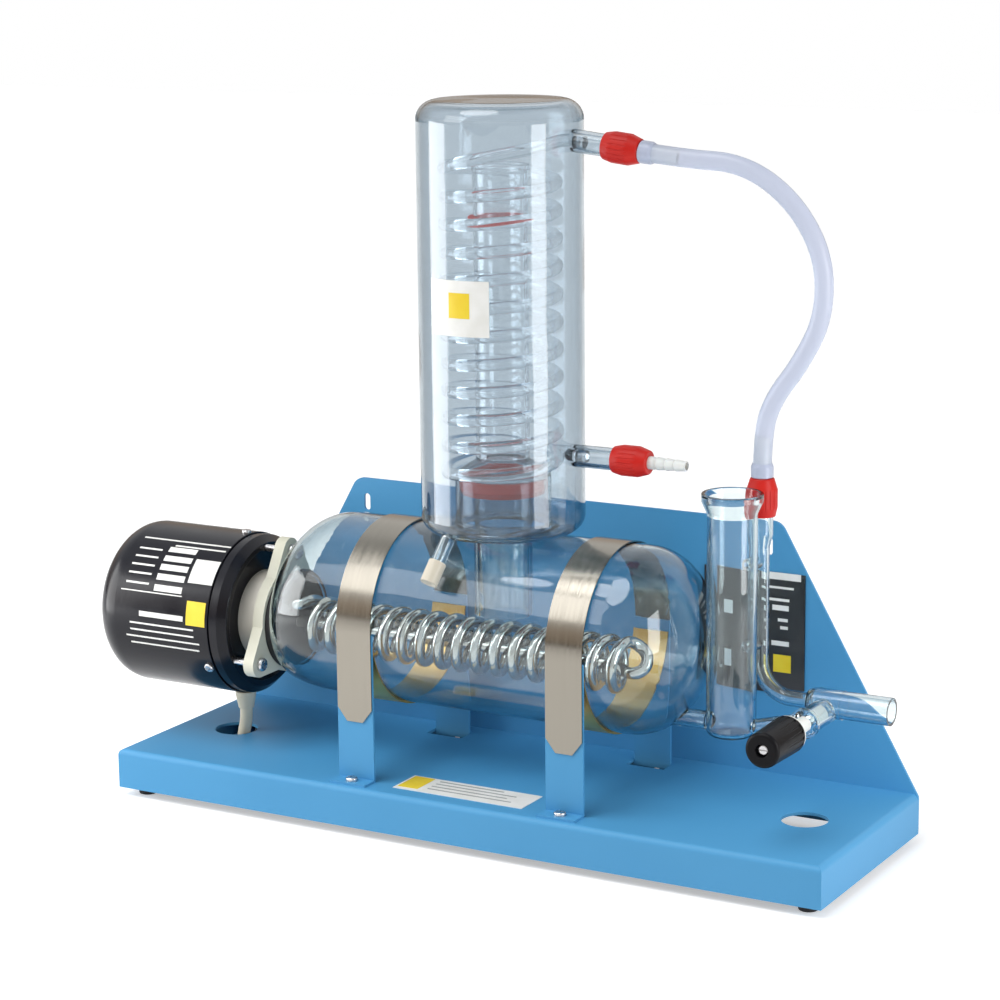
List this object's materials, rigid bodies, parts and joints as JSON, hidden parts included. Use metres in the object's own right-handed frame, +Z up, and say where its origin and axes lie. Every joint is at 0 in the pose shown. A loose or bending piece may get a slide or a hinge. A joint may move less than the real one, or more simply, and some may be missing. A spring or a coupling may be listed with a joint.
{
  "type": "glass water distiller",
  "caption": "Bench water distiller: a lying glass boiler on a sheet metal stand, with an electric heater head, a coil condenser on top, a level vessel and a drain valve.",
  "frame": {"origin": "middle of the still in plan without its cords, on the surface that its feet stand on", "axes": "+X along the base from the heater head to the drain, +Y towards the back panel, +Z up"},
  "size_m": [0.558, 0.2965, 0.4761],
  "materials": {
    "blue_sheet": "smooth satin blue coat",
    "black_plate": "blank black plate",
    "white_label": "blank white label",
    "steel": "polished sheet steel",
    "screws": "zinc plated",
    "black_rubber": "matt black",
    "clear_glass": "clear blown borosilicate",
    "element_metal": "dull nickel alloy sheath",
    "cream_ceramic": "cream ceramic",
    "black_moulding": "glossy near black",
    "white_moulding": "white",
    "cutout_metal": "pressed can",
    "red_rubber": "red silicone",
    "red_moulding": "red moulding",
    "clear_silicone": "milky translucent silicone",
    "lead_sheath": "beige white flexible sheath",
    "brass_pins": "plain brass"
  },
  "bodies": {
    "distiller": {"base_tray": "blue_sheet", "back_panel": "blue_sheet", "front_leg_left": "blue_sheet", "front_leg_right": "blue_sheet", "back_leg_left": "blue_sheet", "back_leg_right": "blue_sheet", "panel_plate": "black_plate", "base_label": "white_label", "saddle_left": "steel", "saddle_right": "steel", "strap_left": "steel", "strap_right": "steel", "panel_screws": "screws", "foot_screws": "screws", "leg_screws": "screws", "flange_screws": "screws", "cap_screws": "screws", "foot_front_left": "black_rubber", "foot_back_left": "black_rubber", "foot_front_right": "black_rubber", "foot_back_right": "black_rubber", "flange_gasket": "black_rubber", "boiler_glass": "clear_glass", "condenser_jacket": "clear_glass", "distillate_spout": "clear_glass", "condenser_coil": "clear_glass", "riser_tube": "clear_glass", "level_vessel": "clear_glass", "overflow_tube": "clear_glass", "valve_barrel": "clear_glass", "heating_element": "element_metal", "heater_flange": "cream_ceramic", "heater_boss": "cream_ceramic", "heater_base": "black_moulding", "heater_cap": "black_moulding", "terminal_block": "white_moulding", "hose_tail_upper": "white_moulding", "hose_tail_lower": "white_moulding", "hose_tail_inlet": "white_moulding", "thermal_cutout": "cutout_metal", "neck_seal": "red_rubber", "riser_ring": "red_rubber", "cooling_hose": "clear_silicone", "hose_cuffs": "clear_silicone", "spout_sleeve": "clear_silicone", "cable_gland": "lead_sheath", "mains_lead": "lead_sheath", "lead_coil": "lead_sheath", "lead_tail": "lead_sheath", "plug_body": "lead_sheath", "plug_pins": "brass_pins"},
    "drain_spindle": {"valve_spindle": "white_moulding"},
    "drain_knob": {"valve_knob": "black_moulding", "knob_screw": "screws"},
    "upper_cap": {"screw_cap_upper": "red_moulding"},
    "lower_cap": {"screw_cap_lower": "red_moulding"},
    "inlet_cap": {"screw_cap_inlet": "red_moulding"}
  },
  "joints": [
    {"name": "valve_travel", "type": "slide", "parent": "distiller", "child": "drain_spindle", "axis": [0, -1, 0], "range_m": [0, 0.006]},
    {"name": "valve_turn", "type": "hinge", "parent": "drain_spindle", "child": "drain_knob", "pos_m": [0.2365, -0.054, 0.0977], "axis": [0, -1, 0], "range_deg": [0, 1080]},
    {"name": "upper_cap_turn", "type": "hinge", "parent": "distiller", "child": "upper_cap", "pos_m": [0.019, 0, 0.4575], "axis": [0.9936, 0, -0.1132], "range_deg": [0, 540]},
    {"name": "lower_cap_turn", "type": "hinge", "parent": "distiller", "child": "lower_cap", "pos_m": [0.019, 0, 0.251], "axis": [1, 0, 0], "range_deg": [0, 540]},
    {"name": "inlet_cap_turn", "type": "hinge", "parent": "distiller", "child": "inlet_cap", "pos_m": [0.1895, 0.029, 0.23], "axis": [0, 0, 1], "range_deg": [0, 540]}
  ],
  "couplings": [
    {"joint": "valve_travel", "follows": "valve_turn", "m_per_rad": 0.0003183}
  ]
}
